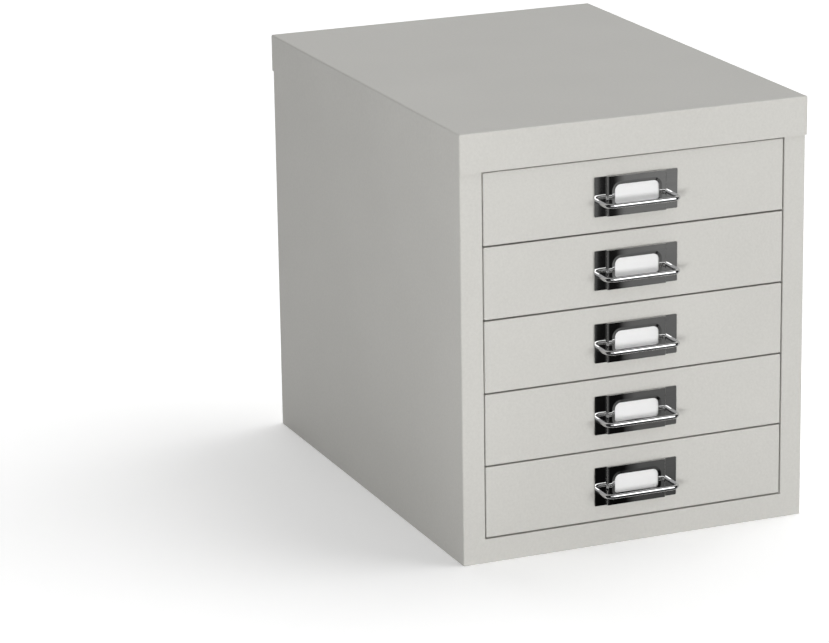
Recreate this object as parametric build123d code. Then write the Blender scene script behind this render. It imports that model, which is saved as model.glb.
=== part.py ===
from build123d import *
import os

# Small sheet-metal drawer cabinet for a desktop: a folded carcass under a folded top cap, and
# equal drawers that slide out on channels. Each drawer has a pressed label plate and a wire bail.
# Millimetres. X is right as seen from the front, Y runs to the back, Z is up. The origin is on
# the floor, under the middle of the top cap. Drawer 1 is the top one.

# ---- Driving dimensions -------------------------------------------------------------------

# Overall, over the top cap
cabinet_width = 279.0
cabinet_depth = 380.0
cabinet_height = 325.0

# Top cap: a tray turned upside down, with a hemmed front lip
cap_sheet = 0.7
cap_skirt = 29.2
cap_lip_stand = 1.9        # the front lip stands this far proud of the drawer fronts
cap_edge_radius = 1.3

# Carcass sheets
body_sheet = 0.9
body_bend_radius = 1.2     # outside radius of the vertical folds at the front
stile_width = 17.2
front_return = 14.0        # depth of every fold into the cabinet behind the front plane
bottom_rail_height = 18.4
back_flange = 12.0
back_bend_radius = 1.8
base_flange = 11.0

# Drawers
drawer_count = 5
drawer_gap = 1.15          # around and between the fronts
drawer_travel = 285.0
front_sheet = 0.8
front_depth = 12.0
front_edge_radius = 0.7
tray_sheet = 0.8
tray_bend_radius = 1.6
tray_floor_rise = 3.0      # from the front's lower edge to the underside of the tray
tray_top_drop = 3.0        # from the front's upper edge to the top of the lips
lip_inset = 0.7            # from the front's side edge in to the lip's outer face
lip_width = 8.0
lip_depth = 8.0
stop_tab_reach = 1.8
stop_tab_length = 8.0
stop_tab_height = 4.0

# Runners: channels open towards the tray
runner_sheet = 1.0
runner_clearance = 0.3     # around the lip, and at the end of the travel
runner_setback = 0.6       # from the stile's return to the channel's front end
runner_back_gap = 4.0      # from the channel's rear end to the back panel
runner_lip_hold = 6.0      # how far the channel's flanges reach past the lip's outer face
runner_bend_radius = 1.5
stop_plate_height = 6.0
stop_plate_gap = 0.4       # from the stop plate's edge to the tray's side

# Handle plate, in the middle of each front
plate_width = 66.6
plate_height = 29.8
plate_sheet = 1.0
plate_drop = 0.5           # below the middle of the front
plate_bend_radius = 1.2
plate_corner_radius = 0.8
pocket_width = 47.8
pocket_stand = 3.0         # from the front's face to the face of the raised centre
window_width = 35.4
window_height = 14.3
window_rise = 1.15         # from the plate's middle to the window's middle
window_top_radius = 4.6
window_bottom_radius = 2.0
window_dish_width = 2.3    # shallow dish pressed round the window
window_dish_depth = 0.3

# Label card, against the back of the raised centre
card_sheet = 0.8
card_side_gap = 1.6
card_height = 22.0

# Wire bail
wire_diameter = 3.4
bail_spacing = 59.0        # between the two ends
bail_stand = 15.0          # from the front's face to the middle of the wire's front run
bail_drop = 4.2            # below the plate's middle
bail_bend_radius = 6.5
bail_head_diameter = 5.6
bail_head_thickness = 1.2
bail_hole_clearance = 0.05

# ---- Places worked out from the dimensions ---------------------------------------------------

half_width = cabinet_width / 2 - cap_sheet
front_face = cap_lip_stand - cabinet_depth / 2
back_face = cabinet_depth / 2 - cap_sheet
cap_underside = cabinet_height - cap_sheet
cap_inner_radius = cap_edge_radius - cap_sheet
side_top = cap_underside - cap_inner_radius
opening_top = cabinet_height - cap_skirt
opening_half = half_width - stile_width
drawer_room = opening_top - bottom_rail_height - drawer_gap
drawer_pitch = drawer_room / drawer_count
front_height = drawer_pitch - drawer_gap
front_half = opening_half - drawer_gap
tray_front = front_face + front_depth
lip_half = front_half - lip_inset
tray_half = lip_half - lip_width
back_panel_face = back_face - body_sheet
runner_front = front_face + front_return + runner_setback
runner_rear = back_panel_face - body_sheet - runner_back_gap
tray_rear = runner_rear - runner_sheet - runner_clearance
stop_tab_front = runner_front + runner_sheet + drawer_travel + runner_clearance
side_inner = half_width - body_sheet


def front_bottom(number):
    """Height of a drawer front's lower edge."""
    return bottom_rail_height + drawer_gap + (drawer_count - number) * drawer_pitch


# ---- Helpers ---------------------------------------------------------------------------------


def block(x_range, y_range, z_range):
    """A box between two values on each axis."""
    low = Vector(x_range[0], y_range[0], z_range[0])
    high = Vector(x_range[1], y_range[1], z_range[1])
    size = high - low
    return Pos(*((low + high) / 2)) * Box(size.X, size.Y, size.Z)


def folded_strip(points, sheet, outer_radii):
    """Section of a folded sheet in the XY plane. The points run along its middle."""
    middle_radii = [max(radius - sheet / 2, 0) for radius in outer_radii]
    return trace(FilletPolyline(*points, radius=middle_radii), sheet)


def standing_sheet(section, low, high):
    """A section drawn on X and Y, raised from one height to another."""
    return Pos(0, 0, low) * extrude(section, high - low)


def lengthwise_sheet(section, front, rear):
    """A section drawn on X and Z, run from front to rear."""
    plane = Plane(origin=(0, rear, 0), x_dir=(1, 0, 0), z_dir=(0, -1, 0))
    return extrude(plane * section, rear - front)


def mirrored(shape):
    """The same piece for the other side of the cabinet."""
    return mirror(shape, about=Plane.YZ)


def write(shape, node):
    """One file for each piece."""
    shape.label = node
    export_step(shape, f"parts/{node}.step")


# ---- Carcass ---------------------------------------------------------------------------------


def make_side_panel():
    """Right side sheet, with its stile, the stile's return and a narrow flange at the back."""
    skin = half_width - body_sheet / 2
    front = front_face + body_sheet / 2
    rear = back_face - body_sheet / 2
    stile_edge = opening_half + body_sheet / 2
    points = [
        (half_width - back_flange, rear),
        (skin, rear),
        (skin, front),
        (stile_edge, front),
        (stile_edge, front_face + front_return),
    ]
    section = folded_strip(points, body_sheet, [back_bend_radius, body_bend_radius, 0])
    return standing_sheet(section, 0, side_top)


def make_back_panel():
    """Flat sheet inside the flanges of the side panels, clear of their inner bends."""
    half = side_inner - (back_bend_radius - body_sheet)
    rear = back_panel_face
    return block((-half, half), (rear - body_sheet, rear), (0, cap_underside))


def make_base_pan():
    """Bottom tray between the carcass sheets, with upright flanges all round."""
    front = front_face + body_sheet
    rear = back_panel_face - body_sheet
    outside = block((-side_inner, side_inner), (front, rear), (0, body_sheet + base_flange))
    inside_x = side_inner - body_sheet
    hollow = block(
        (-inside_x, inside_x),
        (front + body_sheet, rear - body_sheet),
        (body_sheet, 2 * body_sheet + base_flange),
    )
    return outside - stile_clearance() - mirrored(stile_clearance()) - hollow


def stile_clearance():
    """Room that the base pan leaves for a stile's return."""
    return block(
        (opening_half, half_width),
        (front_face, front_face + front_return),
        (0, cabinet_height),
    )


def make_front_rail(low, high, return_at_top):
    """Rail between the stiles: a flush face with one fold back into the cabinet."""
    face = block((-opening_half, opening_half), (front_face, front_face + body_sheet), (low, high))
    fold_low = high - body_sheet if return_at_top else low
    fold = block(
        (-opening_half, opening_half),
        (front_face, front_face + front_return),
        (fold_low, fold_low + body_sheet),
    )
    return face + fold


def make_top_cap():
    """Top sheet with its skirt, and a hem behind the front lip."""
    half_outer = cabinet_width / 2
    half_depth = cabinet_depth / 2
    outside = block((-half_outer, half_outer), (-half_depth, half_depth), (opening_top, cabinet_height))
    folds = outside.edges().filter_by(Axis.Z) + outside.faces().sort_by(Axis.Z)[-1].edges()
    outside = fillet(folds, cap_edge_radius)
    inside = block(
        (-half_width, half_width),
        (cap_sheet - half_depth, back_face),
        (opening_top, cap_underside),
    )
    inner_folds = inside.edges().filter_by(Axis.Z) + inside.faces().sort_by(Axis.Z)[-1].edges()
    inside = fillet(inner_folds, cap_inner_radius)
    hem_layer = block(
        (-half_width, half_width),
        (front_face - cap_sheet, front_face),
        (opening_top, cap_underside - cap_sheet),
    )
    hem_fold = block(
        (-half_width, half_width),
        (cap_sheet - half_depth, front_face),
        (opening_top, opening_top + cap_sheet),
    )
    return outside - inside + hem_layer + hem_fold


# ---- Runners ---------------------------------------------------------------------------------


def lip_heights(number):
    """Lower edge and top of a tray's side lips."""
    top = front_bottom(number) + front_height - tray_top_drop
    return top - lip_depth, top


def make_runner(number):
    """Right channel of one drawer, with a stop plate below its front and a closed rear end."""
    lip_bottom, lip_top = lip_heights(number)
    lower = lip_bottom - runner_clearance - runner_sheet / 2
    upper = lip_top + runner_clearance + runner_sheet / 2
    web = side_inner - runner_sheet / 2
    open_edge = lip_half - runner_lip_hold
    points = [(open_edge, lower), (web, lower), (web, upper), (open_edge, upper)]
    section = folded_strip(points, runner_sheet, [runner_bend_radius, runner_bend_radius])
    channel = lengthwise_sheet(section, runner_front, runner_rear)
    end_plate = block(
        (open_edge, side_inner - runner_bend_radius),
        (runner_rear - runner_sheet, runner_rear),
        (lower, upper),
    )
    stop_plate = block(
        (tray_half + stop_plate_gap, side_inner - runner_bend_radius),
        (runner_front, runner_front + runner_sheet),
        (lower - runner_sheet / 2 - stop_plate_height, lower),
    )
    return channel + end_plate + stop_plate


# ---- Drawers ---------------------------------------------------------------------------------


def make_drawer_front(number):
    """Shallow pan, open to the back, with a hole for each end of the bail."""
    low = front_bottom(number)
    outside = block((-front_half, front_half), (front_face, tray_front), (low, low + front_height))
    front = outside.faces().sort_by(Axis.Y)[0]
    outside = fillet(front.edges() + outside.edges().filter_by(Axis.Y), front_edge_radius)
    inside = block(
        (front_sheet - front_half, front_half - front_sheet),
        (front_face + front_sheet, tray_front),
        (low + front_sheet, low + front_height - front_sheet),
    )
    return outside - inside - bail_holes(number)


def make_drawer_tray(number):
    """Floor, sides with rolled lips, front and back walls, and a stop tab on each side."""
    low = front_bottom(number)
    lip_bottom, lip_top = lip_heights(number)
    floor_bottom = low + tray_floor_rise
    side = tray_half - tray_sheet / 2
    lip = lip_half - tray_sheet / 2
    top = lip_top - tray_sheet / 2
    right_half = [(0, floor_bottom + tray_sheet / 2), (side, floor_bottom + tray_sheet / 2)]
    right_half += [(side, top), (lip, top), (lip, lip_bottom)]
    left_half = [(-x, z) for x, z in reversed(right_half[1:])]
    radii = [tray_bend_radius] * (len(left_half) + len(right_half) - 3)
    section = folded_strip(left_half + right_half[1:], tray_sheet, radii)
    front_wall_face = tray_front - tray_sheet
    sides_and_floor = lengthwise_sheet(section, tray_front, tray_rear)
    front_wall = block(
        (front_sheet - front_half, front_half - front_sheet),
        (front_wall_face, tray_front),
        (low + front_sheet, low + front_height - front_sheet),
    )
    back_heights = (floor_bottom + tray_sheet / 2, lip_top)
    back_wall = block((-side, side), (tray_rear - tray_sheet, tray_rear), back_heights)
    tab = make_stop_tab(lip_bottom)
    return sides_and_floor + front_wall + back_wall + tab + mirrored(tab)


def make_stop_tab(lip_bottom):
    """Tab lanced out of the right side: it meets the runner's stop plate when the drawer is out."""
    top = lip_bottom - runner_clearance - runner_sheet - (stop_plate_height - stop_tab_height) / 2
    wedge = Polyline(
        (tray_half - tray_sheet / 2, stop_tab_front),
        (tray_half + stop_tab_reach, stop_tab_front),
        (tray_half, stop_tab_front + stop_tab_length),
        (tray_half - tray_sheet / 2, stop_tab_front + stop_tab_length),
        close=True,
    )
    return standing_sheet(make_face(wedge), top - stop_tab_height, top)


# ---- Handles ---------------------------------------------------------------------------------


def plate_middle(number):
    """Height of a handle plate's middle."""
    return front_bottom(number) + front_height / 2 - plate_drop


def bail_holes(number):
    """Cutters for the two holes that the wire passes through, in the plate and the front."""
    radius = wire_diameter / 2 + bail_hole_clearance
    height = plate_middle(number) - bail_drop
    cutters = Part()
    for side in (-1, 1):
        place = Pos(side * bail_spacing / 2, front_face, height) * Rot(90, 0, 0)
        cutters += place * Cylinder(radius, 2 * (plate_sheet + front_sheet))
    return cutters


def make_handle_plate(number):
    """Pressed plate: two flanges on the front, a raised centre between them, and its window."""
    flange_middle = front_face - plate_sheet / 2
    pocket_middle = front_face - pocket_stand + plate_sheet / 2
    edge = plate_width / 2
    step = (pocket_width - plate_sheet) / 2
    points = [
        (-edge, flange_middle),
        (-step, flange_middle),
        (-step, pocket_middle),
        (step, pocket_middle),
        (step, flange_middle),
        (edge, flange_middle),
    ]
    section = folded_strip(points, plate_sheet, [plate_bend_radius] * 4)
    middle = plate_middle(number)
    plate = standing_sheet(section, middle - plate_height / 2, middle + plate_height / 2)
    corners = plate.edges().filter_by(Axis.Y).filter_by(lambda e: abs(abs(e.center().X) - edge) < 0.01)
    plate = fillet(corners, plate_corner_radius)
    return plate - window_cutter(number) - bail_holes(number)


def window_outline():
    """Window with larger rounds at its top corners, about the plate's middle."""
    outline = Pos(0, window_rise) * Rectangle(window_width, window_height)
    corners = outline.vertices().sort_by(Axis.Y)
    outline = fillet(corners[2:], window_top_radius)
    return fillet(outline.vertices().group_by(Axis.Y)[0], window_bottom_radius)


def window_cutter(number):
    """The window, with a shallow dish that slopes into it from the raised centre's face."""
    face = front_face - pocket_stand
    standing = Plane(origin=(0, 0, plate_middle(number)), x_dir=(1, 0, 0), z_dir=(0, -1, 0))
    window = Pos(0, 0, -face - plate_sheet) * window_outline()
    dish_mouth = Pos(0, 0, -face) * offset(window_outline(), window_dish_width)
    dish_floor = Pos(0, 0, -face - window_dish_depth) * window_outline()
    dish = loft([standing * dish_mouth, standing * dish_floor], ruled=True)
    return extrude(standing * window, plate_sheet) + dish


def make_label_card(number):
    """Stiff card in the pocket, flat against the back of the raised centre."""
    half = pocket_width / 2 - plate_sheet - card_side_gap
    face = front_face - pocket_stand + plate_sheet
    low = plate_middle(number) - card_height / 2
    return block((-half, half), (face, face + card_sheet), (low, low + card_height))


def make_handle_bail(number):
    """Wire bail on one level, riveted over behind the drawer's front."""
    height = plate_middle(number) - bail_drop
    end = front_face + front_sheet
    half = bail_spacing / 2
    reach = front_face - bail_stand
    points = [(-half, end, height), (-half, reach, height), (half, reach, height), (half, end, height)]
    path = FilletPolyline(*points, radius=bail_bend_radius)
    wire = sweep(Plane(path @ 0, z_dir=path % 0) * Circle(wire_diameter / 2), path=path)
    for side in (-1, 1):
        place = Pos(side * half, end + bail_head_thickness / 2, height) * Rot(90, 0, 0)
        head = place * Cylinder(bail_head_diameter / 2, bail_head_thickness)
        wire += chamfer(head.edges().sort_by(Axis.Y)[-1], bail_head_thickness / 3)
    return wire


# ---- Write every piece -----------------------------------------------------------------------

os.makedirs("parts", exist_ok=True)

side_panel = make_side_panel()
write(side_panel, "side_panel_right")
write(mirrored(side_panel), "side_panel_left")
write(make_back_panel(), "back_panel")
write(make_base_pan(), "base_pan")
write(make_front_rail(0, bottom_rail_height, True), "bottom_rail")
write(make_front_rail(opening_top, cap_underside, False), "top_rail")
write(make_top_cap(), "top_cap")

for drawer in range(1, drawer_count + 1):
    runner = make_runner(drawer)
    write(runner, f"runner_right_{drawer}")
    write(mirrored(runner), f"runner_left_{drawer}")
    write(make_drawer_front(drawer), f"drawer_front_{drawer}")
    write(make_drawer_tray(drawer), f"drawer_tray_{drawer}")
    write(make_handle_plate(drawer), f"handle_plate_{drawer}")
    write(make_label_card(drawer), f"label_card_{drawer}")
    write(make_handle_bail(drawer), f"handle_bail_{drawer}")
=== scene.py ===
import math

import bpy
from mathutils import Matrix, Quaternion, Vector


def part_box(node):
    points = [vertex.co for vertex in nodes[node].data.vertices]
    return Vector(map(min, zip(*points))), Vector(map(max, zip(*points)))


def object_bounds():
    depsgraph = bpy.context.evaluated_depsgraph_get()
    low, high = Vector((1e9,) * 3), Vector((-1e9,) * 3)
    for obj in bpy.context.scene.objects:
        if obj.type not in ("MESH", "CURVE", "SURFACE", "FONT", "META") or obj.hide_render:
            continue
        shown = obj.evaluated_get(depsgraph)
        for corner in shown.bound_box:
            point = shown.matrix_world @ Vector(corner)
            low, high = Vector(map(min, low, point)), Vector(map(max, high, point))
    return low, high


# The looks of a small sheet-metal drawer cabinet: powder-coated sheets, zinc-coated runners,
# bright plated handles and blank white cards. Metres. X is right as seen from the front, Y runs
# to the back, Z is up, and the floor is at height 0.

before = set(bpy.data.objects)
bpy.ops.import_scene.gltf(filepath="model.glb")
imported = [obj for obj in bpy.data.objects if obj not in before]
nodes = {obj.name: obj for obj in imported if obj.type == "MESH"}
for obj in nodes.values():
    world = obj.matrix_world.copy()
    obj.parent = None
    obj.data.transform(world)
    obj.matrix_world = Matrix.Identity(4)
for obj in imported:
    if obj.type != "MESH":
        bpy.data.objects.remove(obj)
cad_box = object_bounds()
scene = bpy.context.scene

MM = 0.001
WHITE = (1.0, 1.0, 1.0, 1.0)

# Camera: its place, the point it looks at, lens and sensor width in millimetres, roll, and how
# far it sees
CAMERA_PLACE = Vector((-1.1507, -2.5655, 0.9475))
CAMERA_AIM = Vector((-0.0974, 0.0006, 0.1316))
CAMERA_LENS = 162.9
CAMERA_SENSOR = 36.0
CAMERA_ROLL = math.radians(-0.89)
CAMERA_REACH = 50.0

# Light. Angles are in degrees, with azimuth 0 in front and 90 on the right. An even surround
# lights everything. Two far lamps light the floor alone and throw the shadow on it. Another far
# lamp and four round ones light the cabinet alone, and a white panel lights only its wires.
SURROUND_LEVEL = 0.23
SHADOW_LAMPS = {
    "side_shadow_lamp": {"azimuth": 82.0, "elevation": 49.0, "strength": 1.60, "spread": 58.0},
    "rear_shadow_lamp": {"azimuth": 165.0, "elevation": 58.0, "strength": 0.86, "spread": 50.0},
}
SKY_LAMP = {"azimuth": 97.0, "elevation": 52.0, "strength": 1.13, "spread": 58.0}
ROUND_LAMPS = {
    "left_lamp": {"azimuth": -38.0, "elevation": 2.0, "strength": 1.30},
    "right_lamp": {"azimuth": 33.0, "elevation": 4.0, "strength": 1.05},
    "top_lamp": {"azimuth": 0.0, "elevation": 56.0, "strength": 0.31},
    "back_lamp": {"azimuth": 180.0, "elevation": 6.0, "strength": 1.30},
}
GLINT_LAMP = {"azimuth": 25.0, "elevation": 29.0, "brightness": 3.0, "width": 1.4, "height": 1.25}
LAMP_DISTANCE = 1.7
LAMP_WIDTH = 0.55

# Floor: half its width, how far it lies below the cabinet, its tone and added glow where it is
# seen, and its tone where it only throws light back
FLOOR_HALF = 8.0
FLOOR_DROP = 0.1 * MM
FLOOR_TONE = 0.95
FLOOR_GLOW = 0.280
FLOOR_BOUNCE = 0.50

# Dark flags that only shiny surfaces see. Stripes lie on the floor in front and run away from the
# camera's mirror image behind the handle plates, so they cross every plate at the same places.
# Each has its place on a plate, from the middle, at its near end and at its far end, and its
# brightness. Each row of stripe ends has its distance from the plates, how far it has moved from
# the near place to the far one, and how much of the brightness is left.
FLAG_STRIPES = [
    (-3.0000, -3.0000, 0.190),
    (-0.0350, -0.0302, 0.190),
    (-0.0345, -0.0292, 0.012),
    (-0.0080, -0.0180, 0.012),
    (0.0050, -0.0105, 0.270),
    (0.0300, 0.0200, 0.300),
    (3.0000, 3.0000, 0.300),
]
FLAG_ROWS = [(0.01, 0.0, 0.10), (0.15, 0.14, 0.48), (1.04, 1.0, 1.0), (2.60, 1.0, 1.0)]
FLAG_LIFT = 0.5 * MM
FLAG_DARK = 0.012

# Round the front stands a dark curtain, lower in the middle, with a dark cloth overhead. Each
# point of the curtain has its azimuth and its height.
CURTAIN = [(-100.0, 2.2), (-36.0, 2.2), (-35.0, 0.25), (50.0, 0.25), (51.0, 2.2), (100.0, 2.2)]
CURTAIN_RADIUS = 2.6
CLOTH_X = (-2.4, 2.4)
CLOTH_Y = (-1.6, 0.6)
CLOTH_HEIGHT = 2.2

# Colours of the finishes
PAINT = (0.636, 0.628, 0.595, 1.0)
PAINT_DARK = (0.570, 0.562, 0.532, 1.0)
TRAY_PAINT = (0.590, 0.583, 0.555, 1.0)
TRAY_PAINT_DARK = (0.550, 0.543, 0.516, 1.0)
ZINC = (0.60, 0.61, 0.62, 1.0)
ZINC_DARK = (0.46, 0.47, 0.49, 1.0)
PLATE = (0.56, 0.56, 0.55, 1.0)
PLATE_DARK = (0.48, 0.48, 0.475, 1.0)
WIRE = (0.62, 0.62, 0.63, 1.0)
WIRE_DARK = (0.54, 0.54, 0.55, 1.0)
CARD = (0.86, 0.86, 0.86, 1.0)
CARD_DARK = (0.80, 0.80, 0.79, 1.0)

# Grain of the finishes, in cells to the metre, and the depth of their relief
PAINT_SPECKLE = 2600.0
PAINT_PEEL = 520.0
PAINT_DRIFT = 9.0
PEEL_DEPTH = 0.25 * MM
ZINC_CRYSTALS = 130.0
ZINC_LINES = (900.0, 12.0, 900.0)
ZINC_DEPTH = 0.2 * MM
PLATE_POLISH = (60.0, 900.0, 900.0)
WIRE_POLISH = (900.0, 900.0, 900.0)
POLISH_CLOUD = 70.0
POLISH_DEPTH = 0.01 * MM
CARD_FELT = 1400.0
CARD_CLOUD = 60.0
FELT_DEPTH = 0.1 * MM


# ---- Shader building ------------------------------------------------------------------------


class Number:
    """A socket that carries one number. Python's operators add the Math nodes."""

    def __init__(self, surface, socket):
        self.surface = surface
        self.socket = socket

    def __add__(self, other):
        return self.surface.math("ADD", self, other)

    def __mul__(self, other):
        return self.surface.math("MULTIPLY", self, other)

    __radd__ = __add__
    __rmul__ = __mul__


class Surface:
    """One material, or the world, and the only way that nodes get into it."""

    def __init__(self, name, owners=bpy.data.materials):
        self.owner = owners.new(name)
        self.owner.use_nodes = True
        self.tree = self.owner.node_tree
        self.tree.nodes.clear()

    def node(self, kind, settings=None, sockets=None):
        """Adds a node: its settings first, then the values or links of its sockets."""
        made = self.tree.nodes.new(kind)
        for name, value in (settings or {}).items():
            if name == "stops":
                self.set_stops(made.color_ramp, value)
            else:
                setattr(made, name, value)
        for key, value in (sockets or {}).items():
            self.feed(self.find(made.inputs, key), value)
        return made

    def set_stops(self, ramp, stops):
        """Gives a ramp its stops, each a position and a grey level."""
        while len(ramp.elements) < len(stops):
            ramp.elements.new(1.0)
        for element, (position, level) in zip(ramp.elements, stops):
            element.position = position
            element.color = (level, level, level, 1.0)

    def find(self, sockets, key):
        """A socket by its number, its identifier or its name."""
        if isinstance(key, int):
            return sockets[key]
        for socket in sockets:
            if socket.identifier == key:
                return socket
        return sockets[key]

    def feed(self, socket, value):
        """Links a socket, or sets its value."""
        source = value.socket if isinstance(value, Number) else value
        if isinstance(source, bpy.types.NodeSocket):
            self.tree.links.new(source, socket)
        else:
            socket.default_value = source

    def number(self, kind, settings=None, sockets=None, output=0):
        """A node whose output is used as one number."""
        made = self.node(kind, settings, sockets)
        return Number(self, self.find(made.outputs, output))

    def math(self, operation, *values):
        """A Math node on numbers."""
        return self.number("ShaderNodeMath", {"operation": operation}, dict(enumerate(values)))

    def place(self):
        """Where a point lies on its piece, in metres."""
        return self.node("ShaderNodeTexCoord").outputs["Object"]

    def stretched(self, scale):
        """The place, scaled by its own amount along each axis."""
        scaling = {0: self.place(), 1: scale}
        return self.node("ShaderNodeVectorMath", {"operation": "MULTIPLY"}, scaling).outputs[0]

    def noise(self, scale, detail, roughness, vector=None):
        """Smooth noise from 0 to 1. Scale is in cells to the metre."""
        sockets = {
            "Vector": vector or self.place(),
            "Scale": scale,
            "Detail": detail,
            "Roughness": roughness,
        }
        return self.number("ShaderNodeTexNoise", {}, sockets, "Fac")

    def cells(self, scale):
        """Cells of random colour. Scale is in cells to the metre."""
        sockets = {"Vector": self.place(), "Scale": scale}
        return self.node("ShaderNodeTexVoronoi", {}, sockets).outputs["Color"]

    def ramp(self, value, dark_end, light_end):
        """How far a value has gone from one level to another, from 0 to 1."""
        stops = [(dark_end, 0.0), (light_end, 1.0)]
        return self.number("ShaderNodeValToRGB", {"stops": stops}, {"Fac": value}, "Color")

    def blend(self, amount, first, second):
        """A colour between two colours."""
        sockets = {"Factor_Float": amount, "A_Color": first, "B_Color": second}
        made = self.node("ShaderNodeMix", {"data_type": "RGBA"}, sockets)
        return self.find(made.outputs, "Result_Color")

    def bump(self, height, strength, distance):
        """A normal tilted by a height."""
        sockets = {"Strength": strength, "Distance": distance, "Height": height}
        return self.node("ShaderNodeBump", {}, sockets).outputs["Normal"]

    def mix(self, amount, first, second):
        """A shader between two shaders."""
        sockets = {0: amount, 1: first.outputs[0], 2: second.outputs[0]}
        return self.node("ShaderNodeMixShader", {}, sockets)

    def finish(self, shader, kind="ShaderNodeOutputMaterial"):
        """Ends the material, or the world."""
        self.node(kind, {}, {"Surface": shader.outputs[0]})
        return self.owner

    def principled(self, sockets):
        """The usual shader as the whole material."""
        return self.finish(self.node("ShaderNodeBsdfPrincipled", {}, sockets))


# ---- Finishes -------------------------------------------------------------------------------


def powder_coat(name, light, dark, peel_strength):
    """Baked powder paint: fine speckle, slow drift of tone, and orange-peel relief."""
    paint = Surface(name)
    speckle = paint.noise(PAINT_SPECKLE, detail=3.0, roughness=0.65)
    drift = paint.noise(PAINT_DRIFT, detail=2.0, roughness=0.5)
    peel = paint.noise(PAINT_PEEL, detail=2.0, roughness=0.55)
    shade = paint.ramp(speckle * 0.35 + peel * 0.40 + drift * 0.25, 0.34, 0.66)
    return paint.principled({
        "Base Color": paint.blend(shade, dark, light),
        "Roughness": 0.42 + peel * 0.14,
        "IOR": 1.36,
        "Normal": paint.bump(peel + speckle * 0.35, peel_strength, PEEL_DEPTH),
    })


def zinc_sheet():
    """Zinc-coated sheet: large soft crystals and faint rolling lines."""
    zinc = Surface("zinc_sheet")
    crystals = zinc.ramp(zinc.cells(ZINC_CRYSTALS), 0.2, 0.8)
    lines = zinc.noise(1.0, detail=3.0, roughness=0.6, vector=zinc.stretched(ZINC_LINES))
    return zinc.principled({
        "Base Color": zinc.blend(crystals * 0.6 + lines * 0.4, ZINC_DARK, ZINC),
        "Metallic": 1.0,
        "Roughness": 0.30 + crystals * 0.12 + lines * 0.08,
        "Normal": zinc.bump(crystals * 0.4 + lines, 0.08, ZINC_DEPTH),
    })


def bright_plating(name, light, dark, polish, base_roughness):
    """Mirror-bright plating over polished metal, with polishing marks and slight cloudiness."""
    plating = Surface(name)
    marks = plating.noise(1.0, detail=4.0, roughness=0.7, vector=plating.stretched(polish))
    cloud = plating.noise(POLISH_CLOUD, detail=3.0, roughness=0.6)
    haze = plating.ramp(marks * 0.5 + cloud * 0.5, 0.35, 0.75)
    return plating.principled({
        "Base Color": plating.blend(haze, light, dark),
        "Metallic": 1.0,
        "Roughness": base_roughness + haze * 0.03,
        "Normal": plating.bump(marks, 0.02, POLISH_DEPTH),
    })


def card_stock():
    """Blank white card with a faint felt-side texture."""
    card = Surface("card_stock")
    felt = card.noise(CARD_FELT, detail=4.0, roughness=0.7)
    cloud = card.noise(CARD_CLOUD, detail=2.0, roughness=0.5)
    shade = card.ramp(felt * 0.6 + cloud * 0.4, 0.35, 0.8)
    return card.principled({
        "Base Color": card.blend(shade, CARD, CARD_DARK),
        "Roughness": 0.62 + felt * 0.12,
        "IOR": 1.40,
        "Normal": card.bump(felt, 0.12, FELT_DEPTH),
    })


def coat_pieces():
    """Gives each sheet, runner, handle and card its finish."""
    paint = powder_coat("cabinet_powder_coat", PAINT, PAINT_DARK, peel_strength=0.35)
    finishes = {
        "drawer_tray": powder_coat("tray_powder_coat", TRAY_PAINT, TRAY_PAINT_DARK, 0.45),
        "runner": zinc_sheet(),
        "handle_plate": bright_plating("plate_plating", PLATE, PLATE_DARK, PLATE_POLISH, 0.02),
        "handle_bail": bright_plating("wire_plating", WIRE, WIRE_DARK, WIRE_POLISH, 0.03),
        "label_card": card_stock(),
    }
    for node, piece in nodes.items():
        kinds = [kind for kind in finishes if node.startswith(kind)]
        piece.data.materials.clear()
        piece.data.materials.append(finishes[kinds[0]] if kinds else paint)


# ---- Floor and surround ---------------------------------------------------------------------


def grey(level):
    """An even grey."""
    return (level, level, level, 1.0)


def seen_directly(surface):
    """1 for rays from the camera, and for those that metal or glass sends on."""
    path = surface.node("ShaderNodeLightPath").outputs
    mirrored = surface.math("MAXIMUM", path["Is Camera Ray"], path["Is Glossy Ray"])
    return surface.math("MAXIMUM", mirrored, path["Is Transmission Ray"])


def make_floor():
    """Pale floor that reads as white and keeps the cabinet's shadow."""
    half = FLOOR_HALF
    corners = [(-half, -half, 0), (half, -half, 0), (half, half, 0), (-half, half, 0)]
    mesh = bpy.data.meshes.new("floor")
    mesh.from_pydata(corners, [], [(0, 1, 2, 3)])
    floor = bpy.data.objects.new("floor", mesh)
    floor.location.z = -FLOOR_DROP
    scene.collection.objects.link(floor)
    paper = Surface("floor_paper")
    dull = paper.node("ShaderNodeBsdfDiffuse", {}, {"Color": grey(FLOOR_BOUNCE)})
    shadowed = paper.node("ShaderNodeBsdfDiffuse", {}, {"Color": grey(FLOOR_TONE)})
    glow = paper.node("ShaderNodeEmission", {}, {"Strength": FLOOR_GLOW})
    white = paper.node("ShaderNodeAddShader", {}, {0: shadowed.outputs[0], 1: glow.outputs[0]})
    mesh.materials.append(paper.finish(paper.mix(seen_directly(paper), dull, white)))
    return floor


def make_surround():
    """Even surround: white where it is seen, and dimmer as a light."""
    sky = Surface("studio", bpy.data.worlds)
    dim = sky.node("ShaderNodeBackground", {}, {"Color": WHITE, "Strength": SURROUND_LEVEL})
    white = sky.node("ShaderNodeBackground", {}, {"Color": WHITE, "Strength": 1.0})
    mixed = sky.mix(seen_directly(sky), dim, white)
    scene.world = sky.finish(mixed, "ShaderNodeOutputWorld")


# ---- Lamps ----------------------------------------------------------------------------------


def direction(azimuth, elevation):
    """Unit vector towards a place in the studio, as seen from the cabinet."""
    side, height = math.radians(azimuth), math.radians(elevation)
    return Vector((
        math.sin(side) * math.cos(height),
        -math.cos(side) * math.cos(height),
        math.sin(height),
    ))


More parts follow.
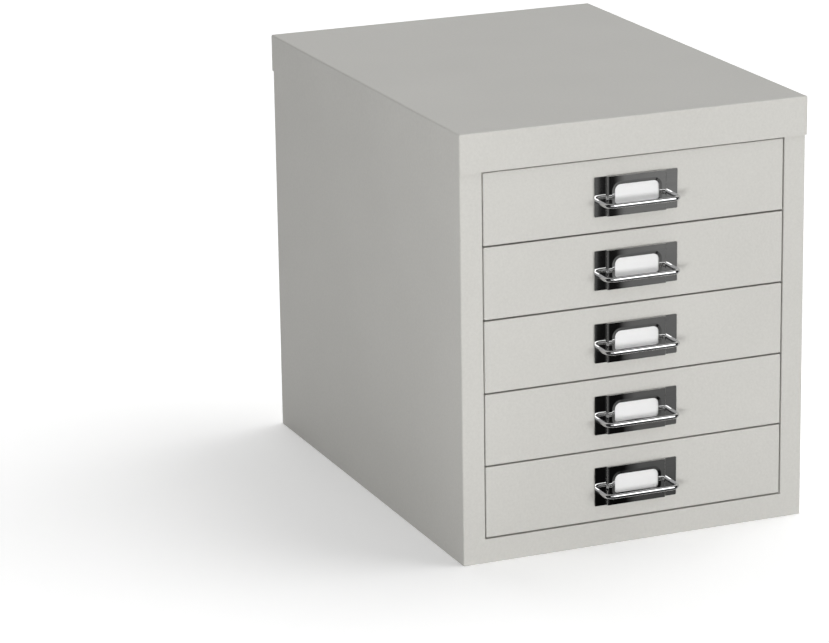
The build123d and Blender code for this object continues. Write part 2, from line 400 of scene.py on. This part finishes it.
def hang_lamp(data, azimuth, elevation, pieces):
    """Puts a lamp in the studio, aimed at the cabinet, and keeps its light to some pieces."""
    towards = direction(azimuth, elevation)
    middle = (cad_box[0] + cad_box[1]) / 2
    lamp = bpy.data.objects.new(data.name, data)
    lamp.location = middle + towards * LAMP_DISTANCE
    lamp.rotation_mode = "QUATERNION"
    lamp.rotation_quaternion = towards.to_track_quat("Z", "Y")
    scene.collection.objects.link(lamp)
    lit = bpy.data.collections.new(data.name + "_lights")
    for piece in pieces:
        lit.objects.link(piece)
    lamp.light_linking.receiver_collection = lit
    return lamp


def make_far_lamp(name, pieces, azimuth, elevation, strength, spread):
    """Far, soft lamp that lights some pieces, and throws the shadows that fall on them."""
    data = bpy.data.lights.new(name, "SUN")
    data.energy = strength
    data.angle = math.radians(spread)
    hang_lamp(data, azimuth, elevation, pieces)


def make_round_lamp(name, azimuth, elevation, strength):
    """Soft round lamp that no plate mirrors, with its strength measured at the cabinet."""
    data = bpy.data.lights.new(name, "AREA")
    data.shape = "DISK"
    data.size = LAMP_WIDTH
    data.energy = strength * math.pi * LAMP_DISTANCE ** 2
    lamp = hang_lamp(data, azimuth, elevation, nodes.values())
    lamp.visible_glossy = False


def make_glint_lamp(azimuth, elevation, brightness, width, height):
    """White panel that only the wires mirror, as the thin glint along them."""
    data = bpy.data.lights.new("glint_lamp", "AREA")
    data.shape = "RECTANGLE"
    data.size = width
    data.size_y = height
    data.energy = brightness * math.pi * width * height
    bails = [piece for node, piece in nodes.items() if node.startswith("handle_bail")]
    hang_lamp(data, azimuth, elevation, bails)


def make_lamps(floor):
    """Every lamp, each with the pieces that it lights."""
    make_far_lamp("sky_lamp", nodes.values(), **SKY_LAMP)
    for name, setting in SHADOW_LAMPS.items():
        make_far_lamp(name, [floor], **setting)
    for name, setting in ROUND_LAMPS.items():
        make_round_lamp(name, **setting)
    make_glint_lamp(**GLINT_LAMP)


# ---- Flags ----------------------------------------------------------------------------------


def stripe_corners(front):
    """Corners and tones of the stripes, from near the plates to the curtain."""
    eye = Vector((CAMERA_PLACE.x, 2 * front - CAMERA_PLACE.y))
    corners = []
    for distance, share, fade in FLAG_ROWS:
        for near, far, tone in FLAG_STRIPES:
            start = Vector((near + (far - near) * share, front))
            spot = start + (start - eye).normalized() * distance
            corners.append(((spot.x, spot.y, FLAG_LIFT), tone * fade))
    return corners


def curtain_corners(front):
    """Corners and tones of the curtain, at the floor and along its top."""
    corners = []
    for azimuth, height in CURTAIN:
        foot = Vector((0, front, 0)) + direction(azimuth, 0) * CURTAIN_RADIUS
        corners.append(((foot.x, foot.y, 0.0), FLAG_DARK))
        corners.append(((foot.x, foot.y, height), FLAG_DARK))
    return corners


def make_flag(name, corners, faces):
    """Dark cloth that plates and wires mirror, and nothing else sees."""
    mesh = bpy.data.meshes.new(name)
    mesh.from_pydata([place for place, tone in corners], [], faces)
    shade = mesh.color_attributes.new("tone", "FLOAT_COLOR", "POINT")
    for corner, (place, tone) in zip(shade.data, corners):
        corner.color = grey(tone)
    flag = bpy.data.objects.new(name, mesh)
    scene.collection.objects.link(flag)
    for ray in ("camera", "diffuse", "shadow", "transmission", "volume_scatter"):
        setattr(flag, "visible_" + ray, False)
    felt = Surface(name + "_felt")
    tone = felt.node("ShaderNodeAttribute", {"attribute_name": "tone"}).outputs["Color"]
    mesh.materials.append(felt.finish(felt.node("ShaderNodeEmission", {}, {"Color": tone})))


def make_flags():
    """The stripes on the floor, the curtain round the front and the cloth overhead."""
    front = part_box("handle_plate_3")[0].y
    count = len(FLAG_STRIPES)
    lanes = []
    for row in range(len(FLAG_ROWS) - 1):
        starts = range(row * count, (row + 1) * count - 1)
        lanes += [(i, i + 1, i + 1 + count, i + count) for i in starts]
    make_flag("floor_flag", stripe_corners(front), lanes)
    folds = [(2 * i, 2 * i + 2, 2 * i + 3, 2 * i + 1) for i in range(len(CURTAIN) - 1)]
    make_flag("curtain_flag", curtain_corners(front), folds)
    cloth = [((x, y, CLOTH_HEIGHT), FLAG_DARK) for y in CLOTH_Y for x in CLOTH_X]
    make_flag("overhead_flag", cloth, [(0, 1, 3, 2)])


# ---- Camera ---------------------------------------------------------------------------------


def make_camera():
    """Camera at the photograph's viewing angle."""
    data = bpy.data.cameras.new("camera")
    data.sensor_width = CAMERA_SENSOR
    data.lens = CAMERA_LENS
    data.clip_end = CAMERA_REACH
    camera = bpy.data.objects.new("camera", data)
    camera.location = CAMERA_PLACE
    level = (CAMERA_AIM - CAMERA_PLACE).to_track_quat("-Z", "Y")
    camera.rotation_mode = "QUATERNION"
    camera.rotation_quaternion = level @ Quaternion((0.0, 0.0, 1.0), CAMERA_ROLL)
    scene.collection.objects.link(camera)
    scene.camera = camera


coat_pieces()
make_lamps(make_floor())
make_surround()
make_flags()
make_camera()
scene.view_settings.view_transform = "Standard"
